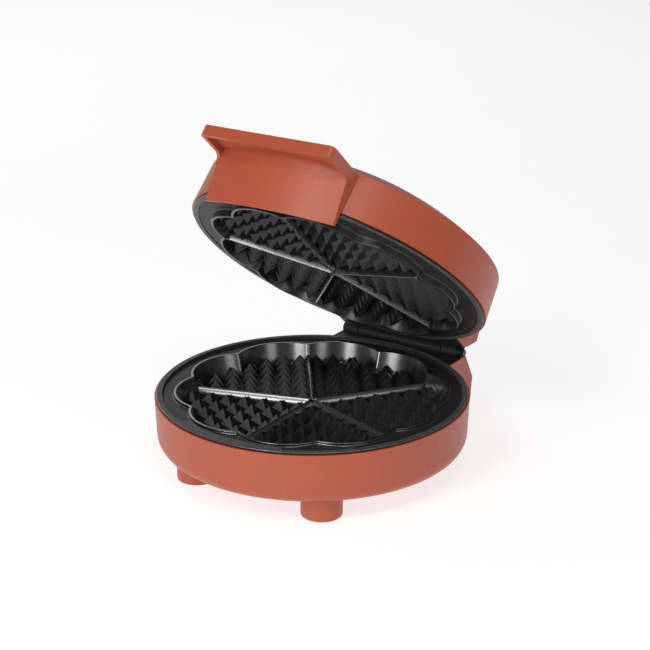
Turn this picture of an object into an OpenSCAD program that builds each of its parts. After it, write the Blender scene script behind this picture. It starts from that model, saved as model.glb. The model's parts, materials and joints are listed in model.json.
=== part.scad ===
// Heart waffle maker. Two hinged cast plates sit in round shells on four feet.
// Millimetres, +Z up, hinge at +Y, handle at -Y. Every piece is drawn with the
// appliance closed and centred on the base; lid pieces then turn open about the hinge.

/* [Shells] */
// Outer radius of both shells at their rims
shell_r = 105; // [104:0.5:107]
// Wall thickness of the moulded shells
wall = 2.5; // [2.2:0.1:2.8]
// Height of the base shell's rim above the table
base_rim_z = 52; // [51:0.5:53]
// Height of the base shell's underside above the table
base_floor_z = 16.7; // [16:0.1:17.5]
// Round edge at the bottom of the base shell
base_edge_r = 10.5; // [8:0.5:12]
// Height of the lid's side wall
lid_wall_h = 28.7; // [27:0.1:30]
// How far the dome rises above the lid's side wall
dome_rise = 26.5; // [24:0.5:28]
// Inward lean of the side walls over their height
wall_draft = 1.6; // [1:0.1:2]

/* [Hinge] */
// Distance of the hinge axis behind the centre
hinge_y = 113.1; // [112:0.1:114]
// How far open the lid rests, in degrees
open_angle = 42.3; // [30:0.1:60]
// Outer radius of the hinge barrel
barrel_r = 4; // [3.8:0.1:4.2]
// Radius of the steel hinge pin
pin_r = 1.5; // [1.2:0.1:1.8]
// Half length of the barrel
barrel_half = 47; // [46:0.5:48]
// Left end of the housings around the hinge
block_left = 44; // [43:0.5:45]
// Right end of the housings around the hinge
block_right = 55.2; // [54.5:0.1:56]

/* [Baking plates] */
// Outer radius of the plate flanges
flange_r = 103.6; // [103.2:0.1:104.2]
// Radius of the ten inner points of the baking outline
cusp_r = 83; // [82:0.5:84]
// Radius of the ten bulges of the baking outline
lobe_r = 90.5; // [89.5:0.1:91]
// Thickness of the cast plates
plate_t = 3.2; // [2.8:0.1:3.6]
// Spacing of the pyramids along the dividers
pyramid_pitch = 12.4; // [12:0.1:13]
// Height of the pyramids
pyramid_h = 7.5; // [6.5:0.1:8]
// Thickness of the ridges between the hearts
divider_t = 1.8; // [1.5:0.1:2.2]
// Length of the ridges from the centre
divider_len = 81.3; // [80:0.1:82]
// Depth of the lower plate's baking floor
lower_depth = 15.25; // [14.5:0.05:16]
// Depth of the upper plate's baking floor
upper_depth = 4.3; // [4:0.1:4.6]
// How far the lower ridges stay below the rim
lower_divider_drop = 6.85; // [6.5:0.05:7.2]
// How far the upper ridges reach past the rim
upper_divider_reach = 4.3; // [3.8:0.1:4.6]

/* [Handle] */
// Left end of the handle
handle_left = 50; // [48:0.5:52]
// Right end of the handle
handle_right = 48; // [47:0.5:52]
// Distance of the lip's front from the centre
lip_y = 129; // [127:0.5:131]
// Height of the handle's flat top when closed
handle_top_z = 82.5; // [81.5:0.1:83.5]
// Depth of the lip's front band
lip_band = 7.3; // [6:0.1:8]
// Outward lean of the front panel, in millimetres for each millimetre of height
panel_flare = 0.176; // [0.15:0.001:0.2]
// Radius of the panel at its lowest corners
panel_r = 108.2; // [108:0.1:109]

/* [Feet] */
// Radius of each foot
foot_r = 13.8; // [12.5:0.1:15]
// Sideways distance of the feet from the centre
foot_x = 49.5; // [47:0.5:52]
// Front-to-back distance of the feet from the centre
foot_y = 63; // [60:0.5:66]

/* [Hidden] */

terracotta = "#bb6048";
coating = "#2c2c2e";
steel = "#a9acb0";
ceramic = "#e8e2d6";
black_rubber = "#1d1d1f";
$fn = 96;

gap = 0.15;                                   // half the gap between the closed plates
mate_z = base_rim_z + 1.75;                   // plane where the closed plates meet
lid_rim_z = mate_z + 1.75;
shoulder_z = lid_rim_z + lid_wall_h;          // edge between the lid's wall and its dome
shoulder_r = shell_r - wall_draft;
dome_r = (shoulder_r * shoulder_r + dome_rise * dome_rise) / (2 * dome_rise);
dome_z = shoulder_z + dome_rise - dome_r;     // height of the dome's centre
floor_r = shell_r - 1;                        // base wall radius above the round edge

post_seat_z = 28;                             // where the lower plate's posts meet the base shell's
plug_r = 100.5;                               // part of each plate that enters its shell
plug_d = 4.75;
web_top = 1.6;                                // hinge web, measured from the mating plane
web_d = 3.75;
web_end_y = hinge_y - barrel_r - 0.7;
slot_left = barrel_half + 0.4;                // slot for the web in each rim
slot_right = block_right - 1.2;
pocket_d = 6.25;                              // clearance below and above the barrel
pocket_y = 104;
knuckles = [-barrel_half, -34.5, 0, 34.5, barrel_half];
knuckle_gap = 0.3;

lower_back = lower_depth + plate_t;           // outside of each cavity, from the mating plane
upper_back = upper_depth + plate_t;
lobe_centre = (lobe_r * lobe_r - cusp_r * cusp_r) / (2 * (lobe_r - cusp_r * cos(18)));
lobe_arc = lobe_r - lobe_centre;
cusp_blunt = 0.5;                             // how much the tips between the lobes are cut back
lip_w = 1.9;                                  // wall around each cavity
upper_inset = 2.5;                            // lets the upper lip enter the lower cavity
upper_lip = 4.5;                              // how far it stands past the mating plane
lower_recess = 2.3;
upper_recess = 0.6;
recess_r = 99.6;
pad_r = 95.5;
divider_hub_r = 2.4;

// Corners of the hinge housings as [y, z]: the base's rear edges, then the lid's.
base_rear_low = [117.5, base_floor_z + 0.3];
base_rear_mid = [120, 35];
base_rear_top = [109.8, mate_z - 0.35];
lid_rear_low = [117.8, 66.2];
lid_rear_top = [115.8, 74.4];

// The origin is midway between the front of the base and the back of the open lid.
rear_y = hinge_y + (lid_rear_top[0] - hinge_y) * cos(open_angle)
    + (lid_rear_top[1] - mate_z) * sin(open_angle);
centre_y = (rear_y - shell_r) / 2;

element_r = 58;                               // heating ring
tube_r = 3.2;
element_gap = 15;                             // half the opening of the ring, in degrees
strap_t = 1.2;
strap_boss_r = 70;
shield_d = 10.5;                              // heat shield above the back of the cavity
shield_r = 82;
shield_post_r = 76;
post_ring = 88;                               // screws that hold the lower plate
post_angles = [18, 162, 270];
tap_r = 1.2;                                  // pilot hole of the small screws
post_tap_r = 1.5;                             // pilot hole of the long screws
lamp_y = -63;
lamp_x = 14;
lamp_z = 95;                                  // underside of the lamp lenses
rear_boss_x = 30;                             // screws that hold the lid shell to its plate
rear_boss_y = 103.5;
rear_boss_z = 70;
handle_boss_x = 25;
handle_boss_z = 70;
handle_seat_y = -95.5;
gland_x = -31;
gland_z = 28;
gland_bore_r = 3.3;

// Points of an arc from angle a to angle b.
function arc(cx, cy, r, a, b, n = 8) =
    [for (i = [0:n]) [cx + r * cos(a + (b - a) * i / n), cy + r * sin(a + (b - a) * i / n)]];

// ---------- placement ----------

module in_base() {
    translate([0, -centre_y, 0]) children();
}

module in_lid() {
    in_base() translate([0, hinge_y, mate_z]) rotate([-open_angle, 0, 0])
        translate([0, -hinge_y, -mate_z]) children();
}

// Plate frame: z = 0 on the mating plane and +Z towards the shell.
module below_mate() {
    translate([0, 0, mate_z]) mirror([0, 0, 1]) children();
}

module above_mate() {
    translate([0, 0, mate_z]) children();
}

module at(angle, r) {
    rotate([0, 0, angle]) translate([r, 0, 0]) children();
}

module block(low, high) {
    translate(low) cube(high - low);
}

// Extrudes an outline in Y and Z along X, centred on X = 0.
module along_x(x0, x1) {
    translate([x0, 0, 0]) rotate([90, 0, 90]) linear_extrude(x1 - x0) children();
}

// A screw with its head's seat at the origin and its shank along +Z.
module screw(head_r, head_h, shank_r, length) {
    translate([0, 0, -head_h]) cylinder(h = head_h, r = head_r);
    cylinder(h = length, r = shank_r);
}

module rod(a, b, r) {
    d = b - a;
    translate(a) rotate([0, acos(d[2] / norm(d)), atan2(d[1], d[0])]) cylinder(h = norm(d), r = r);
}

// ---------- base body ----------

module base_profile(t) {
    r = base_edge_r - t;
    rotate_extrude() polygon(concat(
        [[0, base_floor_z + t]],
        arc(floor_r - base_edge_r, base_floor_z + base_edge_r, r, -90, 0),
        [[shell_r - t, base_rim_z + (t > 0 ? 1 : 0)], [0, base_rim_z + (t > 0 ? 1 : 0)]]));
}

module base_block_outline(t) {
    top_z = t > 0 ? mate_z - pocket_d - t : base_rear_top[1];
    part = (top_z - base_rear_mid[1]) / (base_rear_top[1] - base_rear_mid[1]);
    top_y = base_rear_mid[0] + (base_rear_top[0] - base_rear_mid[0]) * part;
    polygon([[80, base_rear_low[1] + t], base_rear_low + [-t, t], base_rear_mid - [t, 0],
        [top_y - t, top_z], [80, top_z]]);
}

module base_shell() {
    color(terracotta) in_base() difference() {
        union() {
            difference() {
                union() {
                    base_profile(0);
                    difference() {
                        along_x(-block_left, block_right) base_block_outline(0);
                        translate([0, 0, base_rim_z]) cylinder(h = 5, r = flange_r + 0.5);
                    }
                }
                base_profile(wall);
                along_x(wall - block_left, block_right - wall) base_block_outline(wall);
            }
            base_ledge();
            for (a = post_angles) at(a, post_ring) translate([0, 0, base_floor_z + 1])
                cylinder(h = post_seat_z - base_floor_z - 1, r = 4.2);
            for (x = [-1, 1], y = [-1, 1]) translate([x * foot_x, y * foot_y, base_floor_z + 1])
                cylinder(h = 5.8, r = 5);
        }
        for (a = post_angles) at(a, post_ring) {
            cylinder(h = 40, r = 1.9);
            cylinder(h = base_floor_z + 5, r = 3.7);
        }
        for (x = [-1, 1], y = [-1, 1]) translate([x * foot_x, y * foot_y, 0])
            cylinder(h = base_floor_z + 6, r = 1.8);
        for (i = [-3:3]) block([i * 9 - 1.5, -18, 0], [i * 9 + 1.5, 18, 30]);
        web_slot(mate_z - web_d - 0.4, 60);
        block([-60, pocket_y, mate_z - pocket_d], [slot_right, 130, 60]);
        translate([gland_x, 100, gland_z]) rotate([-90, 0, 0]) cylinder(h = 30, r = 5.05);
        translate([gland_x, 100, gland_z]) rotate([-90, 0, 0]) cylinder(h = 15.5, r = 8);
        translate([gland_x, 118, gland_z]) rotate([-90, 0, 0]) cylinder(h = 10, r = 6.6);
    }
}

// Ledge inside a rim that carries the gasket.
module base_ledge() {
    translate([0, 0, base_rim_z - 2.7]) difference() {
        cylinder(h = 1.2, r = shell_r - wall + 0.5);
        translate([0, 0, -1]) cylinder(h = 4, r = plug_r + 0.2);
    }
}

module web_slot(low, high) {
    block([-slot_left, 80, low], [slot_right, 130, high]);
}

module gasket() {
    color(ceramic) difference() {
        translate([0, 0, 1.75]) cylinder(h = 1.5, r = shell_r - wall - 0.15);
        cylinder(h = 5, r = plug_r + 0.1);
        block([-slot_left, 80, 0], [slot_right, 130, 6]);
    }
}

module base_gasket() {
    in_base() below_mate() gasket();
}

module foot(x, y) {
    color(terracotta) in_base() translate([x * foot_x, y * foot_y, 0]) difference() {
        rotate_extrude() polygon([[0, 0.6], [foot_r - 1.1, 0.6], [foot_r - 0.3, 1.4],
            [foot_r, base_floor_z], [0, base_floor_z]]);
        cylinder(h = 2.5, r = 11);
        cylinder(h = 8, r = 4);
        cylinder(h = 20, r = 2);
    }
}

module foot_front_left() { foot(-1, -1); }

module foot_front_right() { foot(1, -1); }

module foot_back_left() { foot(-1, 1); }

module foot_back_right() { foot(1, 1); }

module foot_pads() {
    color(black_rubber) in_base() for (x = [-1, 1], y = [-1, 1])
        translate([x * foot_x, y * foot_y, 0]) cylinder(h = 2.5, r = 10.8);
}

module foot_screws() {
    color(steel) in_base() for (x = [-1, 1], y = [-1, 1])
        translate([x * foot_x, y * foot_y, 8]) screw(3.6, 2.4, 1.75, 13.5);
}

module base_plate_screws() {
    color(steel) in_base() for (a = post_angles)
        at(a, post_ring) translate([0, 0, base_floor_z + 5]) screw(3.4, 2.2, 1.45, 16);
}

// ---------- cast plates, in the plate frame ----------

// Baking outline: ten bulges that meet at inner points, grown by t.
module flower(t) {
    circle(r = cusp_r + cusp_blunt + t);
    for (i = [0:9]) rotate(36 * i) translate([lobe_centre, 0]) circle(r = lobe_arc + t);
}

// Row of ridges along +X, starting at Y = 0, that stand pyramid_h high.
module ridges() {
    w = pyramid_pitch * sin(72);
    rotate([90, 0, 90]) linear_extrude(110) polygon(concat(
        [[0, -1]], [for (i = [0:8], s = [0, 1]) [(i + s / 2) * w, s * pyramid_h]],
        [[9 * w, 0], [9 * w, -1]]));
}

// Pyramids of one heart on the baking floor, between the two dividers beside angle a.
module heart_pyramids(a) {
    rotate([0, 0, a]) intersection() {
        rotate([0, 0, -36]) ridges();
        mirror([0, 1, 0]) rotate([0, 0, -36]) ridges();
    }
}

// One baking plate: a rim, a cavity whose outline is set in, and a lip that stands past the mating plane.
module plate(depth, divider_top, recess, inset, lip) {
    back = depth + plate_t;
    difference() {
        union() {
            translate([0, 0, gap]) cylinder(h = 1.75 - gap, r = flange_r);
            translate([0, 0, 1]) cylinder(h = plug_d - 1, r = plug_r);
            translate([0, 0, 1]) linear_extrude(back - 1) flower(2.5);
            difference() {
                block([-barrel_half + 0.2, 80, web_top], [slot_right - 0.4, web_end_y, web_d]);
                cylinder(h = 10, r = plug_r - 0.5);
            }
            translate([0, 0, -lip]) linear_extrude(lip + 1) flower(lip_w - inset);
            for (a = [45:90:315]) at(a, strap_boss_r) cylinder(h = back + 2 * tube_r, r = 3.5);
            for (a = [30:120:270]) at(a, shield_post_r) cylinder(h = back + shield_d, r = 3.5);
        }
        translate([0, 0, -lip - 1]) linear_extrude(depth + lip + 1) flower(-inset);
        plate_recess(recess, lip_w - inset);
        for (a = [45:90:315]) at(a, strap_boss_r) translate([0, 0, back + 1]) cylinder(h = 9, r = tap_r);
        for (a = [30:120:270]) at(a, shield_post_r)
            translate([0, 0, back + 4]) cylinder(h = 9, r = tap_r);
    }
    intersection() {
        translate([0, 0, gap - lip]) linear_extrude(depth + 0.5 + lip - gap) flower(0.5 - inset);
        translate([0, 0, depth]) mirror([0, 0, 1]) for (i = [0:4]) heart_pyramids(18 + 72 * i);
    }
    translate([0, 0, divider_top]) linear_extrude(depth + 1 - divider_top)
        union() {
            circle(r = divider_hub_r);
            for (i = [0:4])
                rotate(54 + 72 * i) translate([0, -divider_t / 2]) square([divider_len, divider_t]);
        }
}

// Channel between the rim and the lip, with a plain pad at the handle.
module plate_recess(deep, lip_t) {
    translate([0, 0, -1]) difference() {
        cylinder(h = deep + 1, r = recess_r);
        translate([0, 0, -1]) linear_extrude(deep + 3) flower(lip_t);
        difference() {
            cylinder(h = deep + 2, r = recess_r + 1);
            cylinder(h = deep + 2, r = pad_r);
            for (s = [-1, 1]) rotate([0, 0, -90 + s * 113]) block([-110, 0, -1], [110, 110, deep + 3]);
        }
    }
}

module knuckle(x0, x1) {
    translate([x0 + knuckle_gap, 0, 0]) difference() {
        union() {
            translate([0, hinge_y, 0]) rotate([0, 90, 0]) cylinder(h = x1 - x0 - 2 * knuckle_gap, r = barrel_r);
            block([0, web_end_y - 1, web_top], [x1 - x0 - 2 * knuckle_gap, hinge_y, web_d]);
        }
        translate([-1, hinge_y, 0]) rotate([0, 90, 0]) cylinder(h = x1 - x0 + 2, r = pin_r + 0.05);
    }
}

module lower_plate() {
    color(coating) in_base() below_mate() difference() {
        union() {
            plate(lower_depth, lower_divider_drop, lower_recess, 0, 0);
            knuckle(knuckles[0], knuckles[1]);
            knuckle(knuckles[2], knuckles[3]);
            for (a = post_angles) at(a, post_ring)
                translate([0, 0, 3]) cylinder(h = mate_z - post_seat_z - 3, r = 4.2);
            at(90, shield_post_r) translate([0, 0, lower_back - 1]) cylinder(h = 8.25, r = 3.5);
            for (x = [-12, 12]) translate([x, -18, 17]) cylinder(h = lower_back - 17, r = 3);
            translate([0, 32, 17]) cylinder(h = lower_back - 17 + 4.4, r = 3);
        }
        for (a = post_angles) at(a, post_ring)
            translate([0, 0, mate_z - post_seat_z - 14]) cylinder(h = 20, r = post_tap_r);
        at(90, shield_post_r) translate([0, 0, lower_back + 1]) cylinder(h = 10, r = tap_r);
        for (x = [-12, 12]) translate([x, -18, lower_back - 2.4]) cylinder(h = 5, r = tap_r);
        translate([0, 32, lower_back - 2]) cylinder(h = 9, r = tap_r);
    }
}

// ---------- heating parts, in the plate frame above a cavity's back ----------

module element(back) {
    z = back + tube_r;
    span = 360 - 2 * element_gap;
    color(steel) {
        translate([0, 0, z]) rotate([0, 0, 90 + element_gap]) rotate_extrude(angle = span)
            translate([element_r, 0]) circle(r = tube_r, $fn = 48);
        for (s = [-1, 1]) at(90 + s * (element_gap + 3.4), element_r) translate([0, 0, z]) {
            rotate([0, 90, 0]) cylinder(h = 11, r = tube_r - 0.5);
            rotate([0, 90, 0]) cylinder(h = 17, r = 1.5);
        }
    }
}

module element_clamps(back) {
    color(steel) for (a = [45:90:315]) at(a, 0) translate([0, 0, back + 2 * tube_r]) difference() {
        block([element_r - 5, -4, 0], [strap_boss_r + 5, 4, strap_t]);
        translate([strap_boss_r, 0, -1]) cylinder(h = 4, r = 1.5);
    }
}

module clamp_screws(back) {
    color(steel) for (a = [45:90:315]) at(a, strap_boss_r)
        translate([0, 0, back + 2 * tube_r + strap_t]) mirror([0, 0, 1]) screw(2.6, 1.6, 1.1, 5.5);
}

module heat_shield(back) {
    color("#c9ccd0") translate([0, 0, back + shield_d]) difference() {
        rotate_extrude() polygon([[14, 0], [shield_r - 0.8, 0], [shield_r - 0.8, -1.5],
            [shield_r, -1.5], [shield_r, 0.8], [14, 0.8]]);
        for (a = [30:120:270]) at(a, shield_post_r) translate([0, 0, -1]) cylinder(h = 4, r = 1.5);
        for (a = [0:30:330]) at(a + 15, 35) translate([0, 0, -1]) cylinder(h = 4, r = 3);
    }
}

module shield_screws(back) {
    color(steel) for (a = [30:120:270]) at(a, shield_post_r)
        translate([0, 0, back + shield_d + 0.8]) mirror([0, 0, 1]) screw(2.6, 1.6, 1.1, 6);
}

module lower_element() { in_base() below_mate() element(lower_back); }

module lower_element_clamps() { in_base() below_mate() element_clamps(lower_back); }

module lower_clamp_screws() { in_base() below_mate() clamp_screws(lower_back); }

module lower_heat_shield() { in_base() below_mate() heat_shield(lower_back); }

module lower_shield_screws() { in_base() below_mate() shield_screws(lower_back); }

module upper_element() { in_lid() above_mate() element(upper_back); }

module upper_element_clamps() { in_lid() above_mate() element_clamps(upper_back); }

module upper_clamp_screws() { in_lid() above_mate() clamp_screws(upper_back); }

module upper_heat_shield() { in_lid() above_mate() heat_shield(upper_back); }

module upper_shield_screws() { in_lid() above_mate() shield_screws(upper_back); }

// ---------- controls and wiring of the base ----------

module thermostat() {
    color(ceramic) in_base() below_mate() translate([0, -18, lower_back]) {
        cylinder(h = 6, r = 8);
        difference() {
            block([-16, -3.5, 0], [16, 3.5, 1.2]);
            for (x = [-12, 12]) translate([x, 0, -1]) cylinder(h = 4, r = 1.5);
        }
        for (x = [-5, 5]) block([x - 3, -0.4, 5], [x + 3, 0.4, 9.5]);
    }
}

module thermostat_screws() {
    color(steel) in_base() below_mate() for (x = [-12, 12])
        translate([x, -18, lower_back + 1.2]) mirror([0, 0, 1]) screw(2.4, 1.4, 1.1, 3.4);
}

module thermal_fuse() {
    color(ceramic) in_base() below_mate() translate([0, 22, lower_back + 2.2]) {
        rotate([0, 90, 0]) translate([0, 0, -9]) cylinder(h = 18, r = 2.2);
        rotate([0, 90, 0]) translate([0, 0, -16]) cylinder(h = 32, r = 0.5);
    }
}

module fuse_clip() {
    color(steel) in_base() below_mate() translate([0, 0, lower_back + 4.4]) difference() {
        block([-4, 17, 0], [4, 36, 0.8]);
        translate([0, 32, -1]) cylinder(h = 4, r = 1.4);
    }
    color(steel) in_base() below_mate()
        translate([0, 32, lower_back + 5.2]) mirror([0, 0, 1]) screw(2.4, 1.4, 1.1, 5);
}

module terminal_block() {
    color("#f2efe6") in_base() difference() {
        block([-18, 97, base_rear_low[1] + wall], [18, 109, 31]);
        for (x = [-12, 0, 12]) translate([x, 103, 24]) cylinder(h = 10, r = 2);
    }
}

// Height of the live and neutral pins of the lower element.
lower_pin_z = mate_z - lower_back - tube_r;
upper_pin_z = mate_z + upper_back + tube_r;
pin_tip_r = element_r + 17.8;

function pin_tip(s, z) = [pin_tip_r * cos(90 + s * (element_gap + 3.4)),
    pin_tip_r * sin(90 + s * (element_gap + 3.4)), z];

// Lead from the terminal block to the element's pin on side s.
module lead(s) {
    difference() {
        rod([12 * s, 97, 27], pin_tip(-s, lower_pin_z), 1.2);
        block([-18, 97, 20], [18, 109, 31]);
    }
}

module live_wire() {
    color("#7a4a2a") in_base() lead(-1);
}

module neutral_wire() {
    color("#2f63a8") in_base() lead(1);
}

module earth_wire() {
    color("#5f9a3c") in_base() rod([0, 97, 27.6], [0, 83, 27.6], 1.2);
}

module earth_tag() {
    color("#c8a24a") in_base() below_mate() {
        translate([0, 0, lower_back + 7.25]) difference() {
            block([-4, 70, 0], [4, 83, 0.8]);
            translate([0, shield_post_r, -1]) cylinder(h = 4, r = 1.4);
        }
        translate([0, shield_post_r, lower_back + 8.05]) mirror([0, 0, 1]) screw(2.6, 1.5, 1.1, 6);
    }
}

module cord_gland() {
    color(black_rubber) in_base() translate([gland_x, 0, gland_z]) rotate([-90, 0, 0]) difference() {
        union() {
            translate([0, 0, 111]) cylinder(h = 11, r = 5);
            translate([0, 0, 118]) cylinder(h = 4, r = 6.5);
        }
        cylinder(h = 130, r = gland_bore_r);
    }
}

module cord_gland_nut() {
    color(steel) in_base() translate([gland_x, 0, gland_z]) rotate([-90, 0, 0])
        translate([0, 0, 112.3]) difference() {
            cylinder(h = 3.2, r = 7.6, $fn = 6);
            translate([0, 0, -1]) cylinder(h = 6, r = 5.02);
        }
}

// ---------- hinge ----------

module hinge_pin() {
    color(steel) in_base() translate([-barrel_half + 0.5, hinge_y, mate_z]) rotate([0, 90, 0])
        cylinder(h = 2 * barrel_half + 2.5, r = pin_r);
}

module hinge_cap() {
    color(coating) in_base() translate([barrel_half, hinge_y, mate_z]) rotate([0, 90, 0]) rotate_extrude()
        polygon([[0, 3], [pin_r + 0.02, 3], [pin_r + 0.02, 0], [barrel_r, 0],
            [barrel_r, 2.4], [barrel_r - 1.7, 5.2], [0, 5.2]]);
}

// ---------- lid body ----------

module lid_form(t) {
    lean = wall_draft / lid_wall_h;
    intersection() {
        translate([0, 0, lid_rim_z - (t > 0 ? 1 : 0)]) rotate_extrude() polygon([[0, 0],
            [shell_r - t + (t > 0 ? lean : 0), 0], [shell_r - t - lean * 70, 70], [0, 70]]);
        translate([0, 0, dome_z]) sphere(dome_r - t, $fn = 200);
    }
}

module lid_block_outline() {
    polygon([[80, lid_rim_z], [97, lid_rim_z], [104, lid_rim_z - 0.3], [108.5, 57.8], lid_rear_low, lid_rear_top,
        [shoulder_r + 0.5, shoulder_z - 1.2], [80, shoulder_z - 1.2]]);
}

module lid_block_hollow() {
    low = mate_z + pocket_d + wall;
    polygon([[80, lid_rim_z + 4], [pocket_y - 2, lid_rim_z + 4], [pocket_y - 2, low], [111.5, low],
        [lid_rear_low[0] - 2.6, lid_rear_low[1] + 1], [lid_rear_top[0] - 2.6, lid_rear_top[1] - 1.2],
        [shoulder_r, shoulder_z - 4.2], [80, shoulder_z - 4.2]]);
}

module lid_shell() {
    color(terracotta) in_lid() difference() {
        union() {
            difference() {
                union() {
                    lid_form(0);
                    difference() {
                        along_x(-block_left, block_right) lid_block_outline();
                        translate([0, 0, 50]) cylinder(h = 60, r = shell_r - 3);
                    }
                }
                lid_form(wall);
                along_x(wall - block_left, block_right - wall) lid_block_hollow();
            }
            above_mate() translate([0, 0, 3.25]) difference() {
                cylinder(h = 1.2, r = shell_r - wall + 0.3);
                translate([0, 0, -1]) cylinder(h = 4, r = plug_r + 0.2);
            }
            intersection() {
                union() {
                    translate([0, lamp_y, lamp_z]) cylinder(h = 20, r = 3.5);
                    for (x = [-1, 1]) translate([x * handle_boss_x, handle_seat_y, handle_boss_z])
                        rotate([90, 0, 0]) cylinder(h = 8, r = 4.5);
                }
                lid_form(1);
            }
            for (x = [-1, 1]) translate([x * rear_boss_x, rear_boss_y, rear_boss_z])
                rotate([-90, 0, 0]) cylinder(h = 10.4, r = 5);
        }
        web_slot(50, mate_z + web_d + 0.4);
        block([-60, pocket_y, 50], [slot_right, 130, mate_z + pocket_d]);
        for (x = [-1, 1]) {
            block([x * rear_boss_x - 5.3, 92, 50],
                [x * rear_boss_x + 5.3, rear_boss_y, mate_z + pocket_d + wall + 0.2]);
            translate([x * rear_boss_x, 100, rear_boss_z]) rotate([-90, 0, 0]) cylinder(h = 30, r = 1.9);
            translate([x * rear_boss_x, 112, rear_boss_z]) rotate([-90, 0, 0]) cylinder(h = 20, r = 3.5);
            translate([x * handle_boss_x, -90, handle_boss_z]) rotate([90, 0, 0]) cylinder(h = 20, r = 1.9);
            translate([x * lamp_x, lamp_y, lamp_z]) cylinder(h = 20, r = 4.05);
        }
        translate([0, lamp_y, lamp_z - 1]) cylinder(h = 6, r = tap_r);
    }
}

module lid_gasket() {
    in_lid() above_mate() gasket();
}

module upper_plate() {
    color(coating) in_lid() above_mate() difference() {
        union() {
            plate(upper_depth, -upper_divider_reach, upper_recess, upper_inset, upper_lip);
            knuckle(knuckles[1], knuckles[2]);
            knuckle(knuckles[3], knuckles[4]);
            for (x = [-1, 1]) block([x * rear_boss_x - 5, 96, 3],
                [x * rear_boss_x + 5, rear_boss_y, rear_boss_z + 5 - mate_z]);
            block([-10, -plug_r - 1.2, 4.5], [10, -94, 7]);
            block([-10, -98, 2], [10, -94, 7]);
        }
        for (x = [-1, 1]) translate([x * rear_boss_x, 98, rear_boss_z - mate_z])
            rotate([-90, 0, 0]) cylinder(h = 10, r = post_tap_r);
    }
}

module lid_plate_screws() {
    color(steel) in_lid() for (x = [-1, 1]) translate([x * rear_boss_x, 112, rear_boss_z])
        rotate([90, 0, 0]) screw(3.2, 2.2, 1.45, 13.5);
}

module lid_terminal_block() {
    color("#f2efe6") in_lid() difference() {
        block([-16, 97.5, mate_z + pocket_d + wall], [16, 108, 73]);
        for (x = [-10, 10]) translate([x, 103, 68]) cylinder(h = 10, r = 2);
    }
}

module lid_wires() {
    color("#7a4a2a") in_lid() for (s = [-1, 1]) difference() {
        rod([-12 * s, 97.5, 66], pin_tip(s, upper_pin_z), 1.2);
        block([-16, 97.5, 62], [16, 108, 73]);
    }
}

module lamp_lens(x) {
    in_lid() translate([x, lamp_y, lamp_z]) {
        cylinder(h = 1.2, r = 5.4);
        cylinder(h = 7.4, r = 4);
    }
}

module power_lamp_lens() { color("#c0392b") lamp_lens(-lamp_x); }

module ready_lamp_lens() { color("#3f9a4f") lamp_lens(lamp_x); }

module lamp_holder() {
    color(ceramic) in_lid() difference() {
        block([-22, lamp_y - 7, lamp_z - 7], [22, lamp_y + 7, lamp_z]);
        for (x = [-lamp_x, lamp_x]) translate([x, lamp_y, lamp_z - 5]) cylinder(h = 6, r = 3.4);
        translate([0, lamp_y, lamp_z - 8]) cylinder(h = 10, r = 1.5);
        translate([0, lamp_y, lamp_z - 8]) cylinder(h = 4, r = 3);
    }
    color("#ff9c5a") in_lid() for (x = [-lamp_x, lamp_x])
        translate([x, lamp_y, lamp_z - 5]) cylinder(h = 4.6, r = 2.2);
}

module lamp_holder_screw() {
    color(steel) in_lid() translate([0, lamp_y, lamp_z - 4]) screw(2.6, 1.6, 1.1, 8);
}

// ---------- handle ----------

// Solid cone whose surface is the handle's front panel, moved inwards by t.
module panel_cone(t) {
    low = 40;
    panel_low_z = 45.2;
    r0 = panel_r - panel_flare * (panel_low_z - low) - t;
    translate([0, 0, low]) rotate_extrude($fn = 200)
        polygon([[0, 0], [r0, 0], [r0 + panel_flare * 45, 45], [0, 45]]);
}

// Outline of a side wall in Y and Z: lip, hollow below it, rounded corner and panel edge.
module handle_side_outline() {
    under = handle_top_z - lip_band;
    polygon(concat([[-lip_y - 5, handle_top_z], [-lip_y - 5, under]],
        arc(-107.8, under - 6, 6, 90, 0, 6),
        [[-90, under - 6], [-90, handle_top_z]]));
}

// The handle from above, with its two front corners rounded.
module handle_plan() {
    polygon(concat([[-handle_left, -70]], arc(3 - handle_left, 3 - lip_y, 3, 180, 270, 6),
        arc(handle_right - 3, 3 - lip_y, 3, 270, 360, 6), [[handle_right, -70]]));
}

module handle() {
    color(terracotta) in_lid() difference() {
        intersection() {
            union() {
                intersection() {
                    difference() {
                        panel_cone(0);
                        intersection() {
                            panel_cone(2.3);
                            block([2.8 - handle_left, -130, 30], [handle_right - 2.8, -40, handle_top_z - 3]);
                        }
                    }
                    block([-60, -130, 30], [60, -80, handle_top_z]);
                }
                along_x(-60, 2.8 - handle_left) handle_side_outline();
                along_x(handle_right - 2.8, 60) handle_side_outline();
                block([-60, -lip_y - 5, handle_top_z - 3], [60, -80, handle_top_z]);
                block([-60, -lip_y - 5, handle_top_z - lip_band], [60, -lip_y + 2.8, handle_top_z]);
                intersection() {
                    for (x = [-1, 1]) translate([x * handle_boss_x, -95, handle_boss_z])
                        rotate([90, 0, 0]) cylinder(h = 20, r = 4.5);
                    panel_cone(1);
                }
            }
            translate([0, 0, 30]) linear_extrude(60) handle_plan();
        }
        lid_form(0);
        translate([0, 0, 30]) cylinder(h = lid_rim_z - 30 + 0.1, r = shell_r + 1);
        for (x = [-1, 1]) translate([x * handle_boss_x, -95, handle_boss_z])
            rotate([90, 0, 0]) cylinder(h = 13, r = post_tap_r);
        translate([0, -96, 45.2]) rotate([13, 0, 0]) translate([-60, -40, -20]) cube([120, 80, 20]);
    }
}

module handle_screws() {
    color(steel) in_lid() for (x = [-1, 1]) translate([x * handle_boss_x, handle_seat_y, handle_boss_z])
        rotate([90, 0, 0]) screw(3.2, 2, 1.45, 11.5);
}

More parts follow.
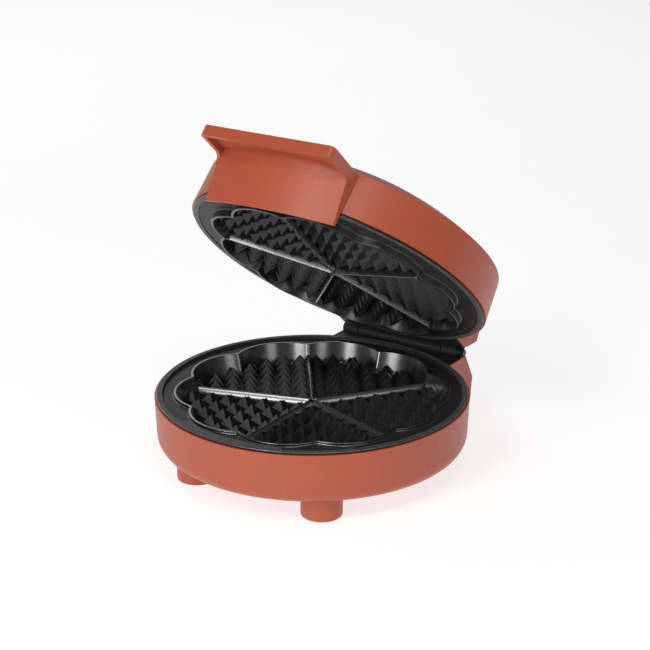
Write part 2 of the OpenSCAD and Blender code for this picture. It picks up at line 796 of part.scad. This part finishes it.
base_shell();
foot_front_left();
foot_front_right();
foot_back_left();
foot_back_right();
foot_pads();
foot_screws();
base_plate_screws();
lower_plate();
base_gasket();
lower_element();
lower_element_clamps();
lower_clamp_screws();
lower_heat_shield();
lower_shield_screws();
thermostat();
thermostat_screws();
thermal_fuse();
fuse_clip();
terminal_block();
live_wire();
neutral_wire();
earth_wire();
earth_tag();
cord_gland();
cord_gland_nut();
hinge_pin();
hinge_cap();
lid_shell();
upper_plate();
lid_gasket();
upper_element();
upper_element_clamps();
upper_clamp_screws();
upper_heat_shield();
upper_shield_screws();
lid_plate_screws();
lid_terminal_block();
lid_wires();
handle();
handle_screws();
power_lamp_lens();
ready_lamp_lens();
lamp_holder();
lamp_holder_screw();
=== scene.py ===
"""Heart waffle maker with its lid open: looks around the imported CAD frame.

Pieces are drawn in millimetres, with the appliance closed and centred on its base, and then placed:
BASE carries them to the row frame, LID also turns them about the hinge to the open pose.
"""
import json
import math

import bpy
import bmesh
import numpy as np
from mathutils import Matrix, Vector
from mathutils.geometry import delaunay_2d_cdt


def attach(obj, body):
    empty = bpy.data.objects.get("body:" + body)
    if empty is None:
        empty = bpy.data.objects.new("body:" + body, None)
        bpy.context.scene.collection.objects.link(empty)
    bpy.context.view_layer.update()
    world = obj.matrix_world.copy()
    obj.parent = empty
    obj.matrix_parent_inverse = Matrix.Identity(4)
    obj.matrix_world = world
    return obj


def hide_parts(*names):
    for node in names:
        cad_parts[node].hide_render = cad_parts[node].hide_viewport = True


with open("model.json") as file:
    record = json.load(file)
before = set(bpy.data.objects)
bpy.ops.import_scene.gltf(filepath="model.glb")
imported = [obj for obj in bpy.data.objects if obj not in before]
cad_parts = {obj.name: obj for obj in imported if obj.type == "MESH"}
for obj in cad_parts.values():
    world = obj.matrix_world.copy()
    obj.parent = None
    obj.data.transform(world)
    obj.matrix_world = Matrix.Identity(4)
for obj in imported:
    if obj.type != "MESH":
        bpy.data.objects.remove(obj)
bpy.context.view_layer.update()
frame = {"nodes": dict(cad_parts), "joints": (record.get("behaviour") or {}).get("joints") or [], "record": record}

# ---------- the two places of a piece ----------
MM = 0.001
hinge = frame["joints"][0]
hinge_row = Vector(hinge["pos_m"])
open_angle = -math.radians(hinge["range_deg"][0])
HINGE_Y, MATE_Z = 113.1, 53.75
BASE = Matrix.Translation((0, hinge_row.y - HINGE_Y * MM, 0)) @ Matrix.Scale(MM, 4)
LID = (Matrix.Translation(hinge_row) @ Matrix.Rotation(-open_angle, 4, "X") @ Matrix.Translation(-hinge_row)
       @ BASE)

# ---------- sizes, in millimetres ----------
GAP = 0.15                                  # half the gap between the closed plates
FLANGE_R, PLUG_R, PLUG_D = 103.6, 100.5, 4.75   # flange, and the part inside the shell
CUSP_R, LOBE_R = 83.0, 90.5                 # baking outline at its tips and at its lobes
LOBE_C = (LOBE_R ** 2 - CUSP_R ** 2) / (2 * (LOBE_R - CUSP_R * math.cos(math.radians(18))))
LOBE_A = LOBE_R - LOBE_C
PLATE_T = 3.2
LOWER_D, UPPER_D = 15.25, 4.3               # cavity floors, from the mating plane
LIP_W, UPPER_INSET, UPPER_LIP = 1.9, 3.05, 4.5   # the upper lip enters the lower cavity
LOWER_RECESS, UPPER_RECESS = 2.3, 0.6       # channel around each lip
RECESS_R, PAD_R = 99.6, 95.5                # its outer edge, and at the front pad
PITCH, RIDGE_H = 12.4 * math.sin(math.radians(72)), 7.5   # pyramid floor
VALLEY, CREST = 0.3, 0.3                    # rounding of its valleys and crests


# ---------- mesh helpers ----------
def add_piece(name, verts, faces, place, body, slot, nodes, mat, bevel=0.0):
    """A mesh piece at its place, riding on body; nodes are the CAD nodes that it stands for."""
    mesh = bpy.data.meshes.new(name)
    mesh.from_pydata([tuple(v) for v in verts], [], faces)
    mesh.transform(place)
    bm = bmesh.new()
    bm.from_mesh(mesh)
    bmesh.ops.remove_doubles(bm, verts=bm.verts, dist=1e-6)
    bmesh.ops.recalc_face_normals(bm, faces=bm.faces)
    bm.to_mesh(mesh)
    bm.free()
    mesh.materials.append(mat)
    mesh.polygons.foreach_set("use_smooth", [True] * len(mesh.polygons))
    piece = bpy.data.objects.new(name, mesh)
    bpy.context.scene.collection.objects.link(piece)
    if bevel:
        soften(piece, bevel)
    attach(piece, body)
    if nodes:
        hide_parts(*nodes)
    return piece


def soften(piece, width, weld=False):
    """Round the edges sharper than 35 degrees; weld first joins the facets of a CAD mesh into panels."""
    if weld:
        mod = piece.modifiers.new("weld", "WELD")
        mod.merge_threshold = 2e-6
        mod = piece.modifiers.new("panels", "DECIMATE")
        mod.decimate_type = "DISSOLVE"
        mod.angle_limit = math.radians(0.3)
    mod = piece.modifiers.new("edges", "BEVEL")
    mod.width = width * MM
    mod.segments = 2
    mod.limit_method = "ANGLE"
    mod.angle_limit = math.radians(35)
    mod.use_clamp_overlap = True
    mod.miter_outer = "MITER_ARC"
    mod = piece.modifiers.new("normals", "WEIGHTED_NORMAL")
    mod.keep_sharp = True
    mod.weight = 80


def loft(rings):
    """Quads between the rings, and from the last ring back to the first."""
    n = len(rings[0])
    verts = [p for ring in rings for p in ring]
    faces = []
    for k in range(len(rings)):
        a, b = k * n, (k + 1) % len(rings) * n
        for i in range(n):
            j = (i + 1) % n
            faces.append((a + i, a + j, b + j, b + i))
    return verts, faces


def merge(*parts):
    """One vertex list and one face list from several."""
    verts, faces = [], []
    for v, f in parts:
        n = len(verts)
        verts += list(v)
        faces += [tuple(q + n for q in face) for face in f]
    return verts, faces


# ---------- materials ----------
def node_mat(name, base, rough, metallic=0.0):
    mat = bpy.data.materials.new(name)
    mat.use_nodes = True
    nt = mat.node_tree
    bsdf = nt.nodes["Principled BSDF"]
    bsdf.inputs["Base Color"].default_value = (*base, 1)
    bsdf.inputs["Roughness"].default_value = rough
    bsdf.inputs["Metallic"].default_value = metallic
    return mat, nt, bsdf


def srgb(r, g, b):
    return tuple(((c / 255 + 0.055) / 1.055) ** 2.4 if c > 10 else c / 255 / 12.92 for c in (r, g, b))


def noise(nt, scale, detail=2.0, rough=0.5):
    tex = nt.nodes.new("ShaderNodeTexNoise")
    tex.inputs["Scale"].default_value = scale
    tex.inputs["Detail"].default_value = detail
    tex.inputs["Roughness"].default_value = rough
    nt.links.new(nt.nodes.new("ShaderNodeTexCoord").outputs["Object"], tex.inputs["Vector"])
    return tex.outputs["Fac"]


def ramp(nt, fac, stops):
    node = nt.nodes.new("ShaderNodeValToRGB")
    while len(node.color_ramp.elements) < len(stops):
        node.color_ramp.elements.new(0.5)
    for el, (pos, col) in zip(node.color_ramp.elements, stops):
        el.position = pos
        el.color = (*col, 1)
    nt.links.new(fac, node.inputs["Fac"])
    return node.outputs["Color"]


def bump(nt, bsdf, height, distance, strength=1.0):
    node = nt.nodes.new("ShaderNodeBump")
    node.inputs["Distance"].default_value = distance
    node.inputs["Strength"].default_value = strength
    nt.links.new(height, node.inputs["Height"])
    nt.links.new(node.outputs["Normal"], bsdf.inputs["Normal"])


def grey(v):
    return (v, v, v)


def terracotta_paint():
    """Satin sprayed metal: a fine even speckle in colour, gloss and height."""
    mat, nt, bsdf = node_mat("terracotta_paint", srgb(172, 80, 50), 0.42)
    fine = noise(nt, 1700, 2.0, 0.6)
    speckle = [(0.3, srgb(159, 70, 44)), (0.5, srgb(168, 78, 50)), (0.72, srgb(178, 88, 60))]
    nt.links.new(ramp(nt, fine, speckle), bsdf.inputs["Base Color"])
    nt.links.new(ramp(nt, fine, [(0.3, grey(0.48)), (0.7, grey(0.36))]), bsdf.inputs["Roughness"])
    bump(nt, bsdf, fine, 0.00005, 0.55)
    return mat


def black_coating(name, coat, ior=1.5):
    """Non-stick coating: near black, with a very fine orange-peel; coat adds the polish of the walls."""
    mat, nt, bsdf = node_mat(name, grey(0.012), 0.36)
    fine = noise(nt, 900, 3.0, 0.6)
    nt.links.new(ramp(nt, fine, [(0.3, grey(0.006)), (0.7, grey(0.014))]), bsdf.inputs["Base Color"])
    bsdf.inputs["Specular IOR Level"].default_value = 0.28
    nt.links.new(ramp(nt, fine, [(0.3, grey(0.32)), (0.7, grey(0.44))]), bsdf.inputs["Roughness"])
    bump(nt, bsdf, fine, 0.00002, 0.7)
    bsdf.inputs["Coat Weight"].default_value = coat
    bsdf.inputs["Coat IOR"].default_value = ior
    bsdf.inputs["Coat Roughness"].default_value = 0.23
    return mat


def satin_coating():
    """The same coating on the machined faces around the cavities, less glossy."""
    mat, nt, bsdf = node_mat("satin_coating", grey(0.02), 0.5)
    fine = noise(nt, 700, 3.0, 0.6)
    nt.links.new(ramp(nt, fine, [(0.3, grey(0.014)), (0.7, grey(0.028))]), bsdf.inputs["Base Color"])
    nt.links.new(ramp(nt, fine, [(0.3, grey(0.42)), (0.7, grey(0.54))]), bsdf.inputs["Roughness"])
    bsdf.inputs["Specular IOR Level"].default_value = 0.25
    bump(nt, bsdf, fine, 0.00004, 0.7)
    return mat


def plain(name, low, high, rough, scale, metallic=0.0):
    """Fine mottling between two colours, for the small and inner parts."""
    mat, nt, bsdf = node_mat(name, low, rough, metallic)
    fine = noise(nt, scale, 2.0)
    nt.links.new(ramp(nt, fine, [(0.3, low), (0.7, high)]), bsdf.inputs["Base Color"])
    nt.links.new(ramp(nt, fine, [(0.3, grey(rough * 0.85)), (0.7, grey(min(rough * 1.15, 1)))]),
                 bsdf.inputs["Roughness"])
    bump(nt, bsdf, fine, 0.00003, 0.4)
    return mat


def machined_rim():
    """Face-milled ring: the coating over fine slanting tool marks."""
    mat, nt, bsdf = node_mat("machined_rim", grey(0.05), 0.4)
    bsdf.inputs["Specular IOR Level"].default_value = 0.35
    coords = nt.nodes.new("ShaderNodeTexCoord").outputs["Object"]
    turn = nt.nodes.new("ShaderNodeMapping")
    turn.inputs["Rotation"].default_value = (0.35, 0.2, 0.6)
    nt.links.new(coords, turn.inputs["Vector"])
    wave = nt.nodes.new("ShaderNodeTexWave")
    wave.inputs["Scale"].default_value = 150
    wave.inputs["Distortion"].default_value = 2.0
    wave.inputs["Detail"].default_value = 2.0
    nt.links.new(turn.outputs["Vector"], wave.inputs["Vector"])
    nt.links.new(ramp(nt, wave.outputs["Fac"], [(0.25, grey(0.02)), (0.75, grey(0.15))]),
                 bsdf.inputs["Base Color"])
    bump(nt, bsdf, wave.outputs["Fac"], 0.0006, 1.0)
    return mat


terracotta = terracotta_paint()
coating = black_coating("black_coating", 0.15)
polished = black_coating("polished_coating", 1.0, 2.0)
soft_polish = black_coating("soft_polish_coating", 0.5)
bright = black_coating("bright_coating", 1.0, 2.1)
satin = satin_coating()
machined = machined_rim()
MATS = {
    "shell_paint": terracotta,
    "plate_coating": coating,
    "black_rubber": plain("rubber", grey(0.015), grey(0.03), 0.8, 900),
    "gasket_fibre": plain("fibre", srgb(190, 184, 172), srgb(225, 220, 208), 0.9, 1400),
    "ceramic_body": plain("ceramic", srgb(220, 214, 200), srgb(236, 231, 220), 0.45, 600),
    "shield_sheet": plain("sheet", grey(0.45), grey(0.55), 0.38, 300, 1.0),
    "brass_tag": plain("brass", srgb(190, 155, 85), srgb(205, 172, 100), 0.35, 500, 1.0),
    "brown_lead": plain("brown_lead", srgb(92, 58, 40), srgb(108, 70, 50), 0.5, 500),
    "blue_lead": plain("blue_lead", srgb(42, 84, 150), srgb(56, 98, 165), 0.5, 500),
    "green_lead": plain("green_lead", srgb(70, 130, 60), srgb(150, 160, 60), 0.5, 120),
    "red_lens": plain("red_lens", srgb(170, 34, 26), srgb(186, 42, 32), 0.12, 200),
    "green_lens": plain("green_lens", srgb(46, 140, 68), srgb(60, 156, 80), 0.12, 200),
    "steel": plain("steel", grey(0.5), grey(0.6), 0.3, 700, 1.0),
}
slot_of = {s["node"]: s["material_slot"] for s in frame["record"]["subparts"]}
for node_name, obj in frame["nodes"].items():
    obj.data.materials.clear()
    obj.data.materials.append(MATS[slot_of[node_name]])


# ---------- baking plates ----------
def outline_r(t, deg):
    """Distance of the baking outline from the centre, offset outward by t, in the direction deg."""
    th = math.radians((deg + 18) % 36 - 18)
    rho = LOBE_A + t
    best = LOBE_C * math.cos(th) + math.sqrt(rho * rho - (LOBE_C * math.sin(th)) ** 2)
    th2 = math.radians(36) - abs(th)
    other = LOBE_C * math.cos(th2) + math.sqrt(max(rho * rho - (LOBE_C * math.sin(th2)) ** 2, 0))
    k = 0.9
    h = max(k - abs(best - other), 0) / k
    return max(best, other) + h * h * k / 4


PAD = 23.0
ANGLES = sorted({round(i * 0.75, 4) for i in range(480)} |
                {round(270 + s * PAD + e, 4) for s in (-1, 1) for e in (-0.12, 0.0)})


def pad_edge(deg):
    return abs((deg - 270 + 180) % 360 - 180) < PAD - 0.06


def ring_t(t, d):
    return [(outline_r(t, a) * math.cos(math.radians(a)), outline_r(t, a) * math.sin(math.radians(a)), d)
            for a in ANGLES]


def ring_r(r, d):
    return [((r(a) if callable(r) else r) * math.cos(math.radians(a)),
             (r(a) if callable(r) else r) * math.sin(math.radians(a)), d) for a in ANGLES]


def arc_pts(cx, cy, r, a0, a1, n):
    return [(cx + r * math.cos(math.radians(a0 + (a1 - a0) * k / n)),
             cy + r * math.sin(math.radians(a0 + (a1 - a0) * k / n))) for k in range(n + 1)]


def plate_body(depth, recess, inset, top):
    """Rim, channel, lip and cavity wall as one closed loft, d measured from the mating plane.

    top is the level of the lip: past the mating plane it is negative.
    """
    slope, edge, foot = 0.24, 0.5, 1.6
    wall_h = depth - top
    t_in, t_low = -inset, -inset - slope * (wall_h - foot)
    t_out = LIP_W - inset
    base_out = t_out + 0.06 * (recess - top)
    rings = [ring_t(t, d) for t, d in
             [(t_low - foot + x, depth - foot + y) for x, y in arc_pts(0, 0, foot, 90, 0, 5)]
             + arc_pts(t_in + edge, top + edge, edge, 180, 270, 5)
             + arc_pts(t_out - edge, top + edge, edge, 270, 360, 5)]
    channel = len(rings) + 3
    low = min(0.7, (recess - top) * 0.4)
    rings += [ring_t(t, d) for t, d in arc_pts(base_out + low, recess - low, low, 180, 90, 4)]
    edge_r = lambda a: PAD_R if pad_edge(a) else RECESS_R
    step = recess - GAP
    cove = min(0.45 * step, 1.1)
    rings += [ring_r(lambda a, x=x: edge_r(a) + x, d)
              for x, d in arc_pts(-cove, recess - cove, cove, 90, 0, 4)]
    brim = min(0.3, step * 0.4)
    rings += [ring_r(lambda a, x=x: edge_r(a) + x, d)
              for x, d in arc_pts(brim, GAP + brim, brim, 180, 270, 3)]
    first_rim = len(rings) - 1
    rings += [ring_r(FLANGE_R - 0.35 + x, GAP + 0.35 + y) for x, y in arc_pts(0, 0, 0.35, 270, 360, 3)]
    rings.append(ring_r(FLANGE_R, 1.75))
    rings.append(ring_r(PLUG_R, 1.75))
    rings.append(ring_r(PLUG_R, PLUG_D))
    rings.append(ring_t(2.5, PLUG_D))
    rings.append(ring_t(2.5, depth + PLATE_T))
    rings.append(ring_t(t_low - foot, depth + PLATE_T))
    verts, faces = loft(rings)
    n = len(ANGLES)
    return verts, faces, range(first_rim * n, (first_rim + 1) * n), range(channel * n, first_rim * n)


def pyramid_sector(limit_t):
    """Ridged floor of one heart about +X, as (x, y, height) with triangles."""
    c36, s36 = math.cos(math.radians(36)), math.sin(math.radians(36))
    pts, edges = [], []
    arc_angles = [-36 + 72 * i / 96 for i in range(97)]
    outline = [(0.0, 0.0)] + [(outline_r(limit_t, a + 18) * math.cos(math.radians(a)),
                               outline_r(limit_t, a + 18) * math.sin(math.radians(a))) for a in arc_angles]
    pts += outline
    n_out = len(outline)

    def clip_line(p, q):
        """Parts of the segment pq inside the outline polygon."""
        cuts = [0.0, 1.0]
        dx, dy = q[0] - p[0], q[1] - p[1]
        for i in range(n_out):
            a, b = outline[i], outline[(i + 1) % n_out]
            ex, ey = b[0] - a[0], b[1] - a[1]
            den = dx * ey - dy * ex
            if abs(den) < 1e-12:
                continue
            s = ((a[0] - p[0]) * ey - (a[1] - p[1]) * ex) / den
            u = ((a[0] - p[0]) * dy - (a[1] - p[1]) * dx) / den
            if 0 < s < 1 and -1e-9 <= u <= 1 + 1e-9:
                cuts.append(s)
        cuts.sort()
        for s0, s1 in zip(cuts, cuts[1:]):
            m = (s0 + s1) / 2
            x, y = p[0] + dx * m, p[1] + dy * m
            if s1 - s0 > 1e-6 and inside(x, y):
                e = 1e-5
                edges.append((len(pts), len(pts) + 1))
                pts.append((p[0] + dx * (s0 + e), p[1] + dy * (s0 + e)))
                pts.append((p[0] + dx * (s1 - e), p[1] + dy * (s1 - e)))

    def inside(x, y):
        r, a = math.hypot(x, y), math.degrees(math.atan2(y, x))
        return abs(a) < 36 and r < outline_r(limit_t, a + 18)

    far = 120.0
    for k in range(0, 10):
        for o in (-VALLEY, 0.0, VALLEY):
            off = (k * PITCH + o)
            if off <= 0.01:
                continue
            # u = x sin36 + y cos36 = off, and the mirror
            for s in (1, -1):
                p0 = (off * s36, s * off * c36)
                d = (c36 * far, -s * s36 * far)
                clip_line((p0[0] - d[0], p0[1] - d[1]), (p0[0] + d[0], p0[1] + d[1]))
    wx, wy = PITCH / (2 * s36), PITCH / (2 * c36)
    for k in range(0, 12):
        for o in (-CREST / s36 / 2, 0.0, CREST / s36 / 2):
            x = k * wx + o
            if x > 0.05:
                clip_line((x, -far), (x, far))
    for k in range(-9, 10):
        for o in (-CREST / c36 / 2, 0.0, CREST / c36 / 2):
            clip_line((0.01, k * wy + o), (far, k * wy + o))
    res = delaunay_2d_cdt([Vector(p) for p in pts], edges, [list(range(n_out))], 1, 1e-4)
    verts, faces = res[0], res[2]
    out = []
    for v in verts:
        u = (v.x * s36 + v.y * c36) / PITCH
        w = (v.x * s36 - v.y * c36) / PITCH
        out.append((v.x, v.y, ridge_height(u, w)))
    return out, [tuple(f) for f in faces]


def ridge_height(u, w):
    """Height of the floor, u and w counted in pitches across the two sets of ridges."""
    def wave(t):
        f = abs(t - round(t))            # 0 in the valley, 0.5 on the ridge
        e = VALLEY / PITCH
        if f < e:
            f = (f * f / e + e) / 2
        return 2 * RIDGE_H * f
    a, b = wave(u), wave(w)
    k = 2 * RIDGE_H * CREST / PITCH
    h = max(k - abs(a - b), 0)
    return min(a, b) - (h * h / (4 * k) if k else 0)


def plate_floor(depth, limit_t):
    """The pyramids of all five hearts, closed at the back."""
    verts, faces = pyramid_sector(limit_t)
    all_v, all_f = [], []
    for i in range(5):
        a = math.radians(18 + 72 * i)
        c, s = math.cos(a), math.sin(a)
        n = len(all_v)
        all_v += [(x * c - y * s, x * s + y * c, depth - h) for x, y, h in verts]
        all_f += [tuple(q + n for q in f) for f in faces]
    # close the back
    bm = bmesh.new()
    bv = [bm.verts.new(v) for v in all_v]
    for f in all_f:
        try:
            bm.faces.new([bv[q] for q in f])
        except ValueError:
            pass
    bmesh.ops.remove_doubles(bm, verts=bm.verts, dist=2e-3)
    edges = [e for e in bm.edges if e.is_boundary]
    res = bmesh.ops.extrude_edge_only(bm, edges=edges)
    low = [v for v in res["geom"] if isinstance(v, bmesh.types.BMVert)]
    for v in low:
        v.co.z = depth + PLATE_T - 0.05
    loop = [e for e in res["geom"] if isinstance(e, bmesh.types.BMEdge)]
    bmesh.ops.triangle_fill(bm, use_beauty=True, use_dissolve=False, edges=loop)
    bm.verts.index_update()
    v = [tuple(x.co) for x in bm.verts]
    f = [tuple(x.index for x in face.verts) for face in bm.faces]
    bm.free()
    return v, f


def divider_bars(top, depth, draft, reach):
    """Five bars with rounded tops and drafted shoulders, from the hub to the tips between the hearts."""
    half_top, shoulder = 0.65, 3.4
    verts, faces = [], []
    wide = half_top + draft * shoulder
    profile = [(wide + 0.6, depth + 0.5), (wide, top + shoulder), (half_top + draft * 0.5, top + 0.6)]
    for k in range(1, 5):
        a = math.radians(90 * k / 4)
        profile.append((half_top - 0.55 + 0.55 * math.cos(a), top + 0.6 - 0.6 * math.sin(a)))
    full = [(y, z) for y, z in profile] + [(-y, z) for y, z in reversed(profile)]
    m = len(full)
    for i in range(5):
        a = math.radians(54 + 72 * i)
        c, s = math.cos(a), math.sin(a)
        stations = [0.0] + [3 + k * (reach - 3) / 30 for k in range(31)]
        n0 = len(verts)
        for x in stations:
            verts += [(x * c - y * s, x * s + y * c, z) for y, z in full]
        for k in range(len(stations) - 1):
            for q in range(m):
                p = (q + 1) % m
                near, far = n0 + k * m, n0 + (k + 1) * m
                faces.append((near + q, near + p, far + p, far + q))
        faces.append(tuple(n0 + q for q in range(m)))
        faces.append(tuple(n0 + (len(stations) - 1) * m + q for q in reversed(range(m))))
    # hub
    n0 = len(verts)
    seg = 40
    prof = [(wide + 1.2, depth + 0.5), (wide + 0.9, top + shoulder), (1.3, top + 0.6), (1.1, top + 0.2),
            (0.8, top + 0.02)]
    for r, z in prof:
        verts += [(r * math.cos(2 * math.pi * k / seg), r * math.sin(2 * math.pi * k / seg), z)
                  for k in range(seg)]
    for k in range(len(prof) - 1):
        for q in range(seg):
            p = (q + 1) % seg
            low, high = n0 + k * seg, n0 + (k + 1) * seg
            faces.append((low + q, low + p, high + p, high + q))
    faces.append(tuple(n0 + q for q in range(seg)))
    faces.append(tuple(n0 + (len(prof) - 1) * seg + q for q in reversed(range(seg))))
    return verts, faces


BELOW = Matrix.Translation((0, 0, MATE_Z)) @ Matrix.Scale(-1, 4, (0, 0, 1))
ABOVE = Matrix.Translation((0, 0, MATE_Z))
BARREL_R, BARREL_HALF, WEB_TOP, WEB_D, WEB_END_Y, WEB_RIGHT = 4.0, 47.0, 1.6, 3.75, 108.4, 53.6
KNUCKLES, KNUCKLE_GAP = (-47.0, -34.5, 0.0, 34.5, 47.0), 0.3


def prism(outline, x0, x1):
    """A solid along X whose outline is given in Y and depth."""
    n = len(outline)
    verts = [(x, y, d) for x in (x0, x1) for y, d in outline]
    faces = [(i, (i + 1) % n, n + (i + 1) % n, n + i) for i in range(n)]
    return verts, faces + [tuple(range(n)), tuple(range(2 * n - 1, n - 1, -1))]


def slab(outline, d0, d1):
    """A solid along Z whose outline is given in X and Y."""
    n = len(outline)
    verts = [(x, y, d) for d in (d0, d1) for x, y in outline]
    faces = [(i, (i + 1) % n, n + (i + 1) % n, n + i) for i in range(n)]
    return verts, faces + [tuple(range(n)), tuple(range(2 * n - 1, n - 1, -1))]


def hinge_side(first):
    """Web and two knuckles of one plate; first is the index of its first knuckle."""
    xs = np.linspace(0.2 - BARREL_HALF, WEB_RIGHT, 40)
    root = PLUG_R - 0.4
    back = [(WEB_RIGHT, WEB_END_Y), (0.2 - BARREL_HALF, WEB_END_Y)]
    web = slab([(x, math.sqrt(root * root - x * x)) for x in xs] + back, WEB_TOP, WEB_D)
    low, high = (math.degrees(math.asin(d / BARREL_R)) for d in (WEB_TOP + 0.05, WEB_D - 0.03))
    turn = [(HINGE_Y + BARREL_R * math.cos(math.radians(a)), BARREL_R * math.sin(math.radians(a)))
            for a in np.linspace(180 - low, 180 - high + 360, 48)]
    outline = [(WEB_END_Y - 0.6, WEB_TOP + 0.05)] + turn + [(WEB_END_Y - 0.6, WEB_D - 0.03)]
    return merge(web, *[prism(outline, KNUCKLES[k] + KNUCKLE_GAP, KNUCKLES[k + 1] - KNUCKLE_GAP)
                        for k in (first, first + 2)])


def make_plate(side, place, body, depth, recess, inset, top, divider_top, draft, gloss, first_knuckle):
    """All pieces of one cast plate; its rim piece stands for the CAD plate."""
    verts, faces, rim, channel = plate_body(depth, recess, inset, top)
    rim_piece = add_piece(side + "_plate_rim", verts, faces, place, body, "plate_coating",
                          [side + "_plate"], gloss)
    for slot, (mat, part) in enumerate(((machined, rim), (satin, channel)), 1):
        rim_piece.data.materials.append(mat)
        for i in part:
            rim_piece.data.polygons[i].material_index = slot
    floor = add_piece(side + "_plate_pyramids", *plate_floor(depth, 0.3 - inset), place, body,
                      "plate_coating", [], coating)
    bars = add_piece(side + "_plate_dividers", *divider_bars(divider_top, depth, draft, 82.0 - 0.9 * inset),
                     place, body, "plate_coating", [], bright)
    for p in (rim_piece, floor, bars):
        mod = p.modifiers.new("normals", "WEIGHTED_NORMAL")
        mod.weight = 90
    add_piece(side + "_plate_hinge", *hinge_side(first_knuckle), place, body, "plate_coating", [], satin,
              bevel=0.35)


make_plate("lower", BASE @ BELOW, "base", LOWER_D, LOWER_RECESS, inset=0.0, top=GAP,
           divider_top=6.85, draft=0.55, gloss=polished, first_knuckle=0)
make_plate("upper", LID @ ABOVE, "lid", UPPER_D, UPPER_RECESS, inset=UPPER_INSET, top=-UPPER_LIP,
           divider_top=-4.3, draft=0.15, gloss=soft_polish, first_knuckle=1)



def rounded_cover(node_name, body, width):
    """A copy of a painted CAD shell with rounded edges, which stands for it."""
    mesh = frame["nodes"][node_name].data.copy()
    mesh.polygons.foreach_set("use_smooth", [True] * len(mesh.polygons))
    piece = bpy.data.objects.new("rounded_" + node_name, mesh)
    bpy.context.scene.collection.objects.link(piece)
    soften(piece, width, weld=True)
    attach(piece, body)
    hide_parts(node_name)


for cover in (("base_shell", "base", 0.5), ("lid_shell", "lid", 0.8), ("handle", "lid", 1.5)):
    rounded_cover(*cover)


# ---------- floor, light, camera ----------
def stage_floor():
    """White floor that glows a little, as a lit sweep does, so that it stays white beside the shadows."""
    bpy.ops.mesh.primitive_plane_add(size=80, location=(0, 0, 0))
    floor = bpy.context.object
    floor.name = "floor"
    mat, nt, bsdf = node_mat("floor", grey(0.42), 0.9)
    bsdf.inputs["Specular IOR Level"].default_value = 0.2
    fine = noise(nt, 3, 2)
    nt.links.new(ramp(nt, fine, [(0.3, grey(0.41)), (0.7, grey(0.43))]), bsdf.inputs["Base Color"])
    bsdf.inputs["Emission Color"].default_value = (1, 1, 1, 1)
    bsdf.inputs["Emission Strength"].default_value = 0.74
    floor.data.materials.append(mat)


def outward(az, el):
    """Direction from the object, in degrees: az is turned from the front towards the right, el is up."""
    a, e = math.radians(az), math.radians(el)
    return Vector((math.sin(a) * math.cos(e), -math.cos(a) * math.cos(e), math.sin(e)))


def softbox(name, az, el, dist, width, height, power):
    """Rectangular light aimed at the object."""
    back = outward(az, el)
    data = bpy.data.lights.new(name, "AREA")
    data.shape = "RECTANGLE"
    data.size, data.size_y = width, height
    data.energy = power
    obj = bpy.data.objects.new(name, data)
    obj.location = Vector((0, 0, 0.1)) + back * dist
    obj.rotation_euler = back.to_track_quat("Z", "Y").to_euler()
    bpy.context.scene.collection.objects.link(obj)


def camera():
    target = Vector((0.0071, 0.0047 + hinge_row.y - HINGE_Y * MM, 0.0992))
    back = outward(33.588, 20.334)
    data = bpy.data.cameras.new("camera")
    data.lens = 104.75
    data.sensor_width = 36
    data.clip_start = 0.05
    cam = bpy.data.objects.new("camera", data)
    cam.location = target + back * 1.2459
    cam.rotation_euler = (-back).to_track_quat("-Z", "Y").to_euler()
    bpy.context.scene.collection.objects.link(cam)
    bpy.context.scene.camera = cam


bpy.context.scene.view_settings.view_transform = "Standard"
stage_floor()
camera()
for light in (
        # name, azimuth, elevation, distance, width, height, watts
        ("front_high", 2, 38, 1.7, 0.5, 0.4, 7.3),
        ("front_low", -5, 11, 1.7, 0.7, 0.34, 9.5),
        ("front_right", 66, 11, 1.7, 0.6, 0.4, 3.0),
        ("camera_side", 43, 52, 1.7, 0.5, 0.4, 6.5),
        ("left", -110, 30, 1.7, 0.9, 1.0, 2.2),
        ("back_card", 228, 24, 1.9, 1.6, 0.9, 3.8)):
    softbox(*light)
world = bpy.data.worlds.new("world")
bpy.context.scene.world = world
world.use_nodes = True
world.node_tree.nodes["Background"].inputs["Color"].default_value = (1, 1, 1, 1)
world.node_tree.nodes["Background"].inputs["Strength"].default_value = 0.14
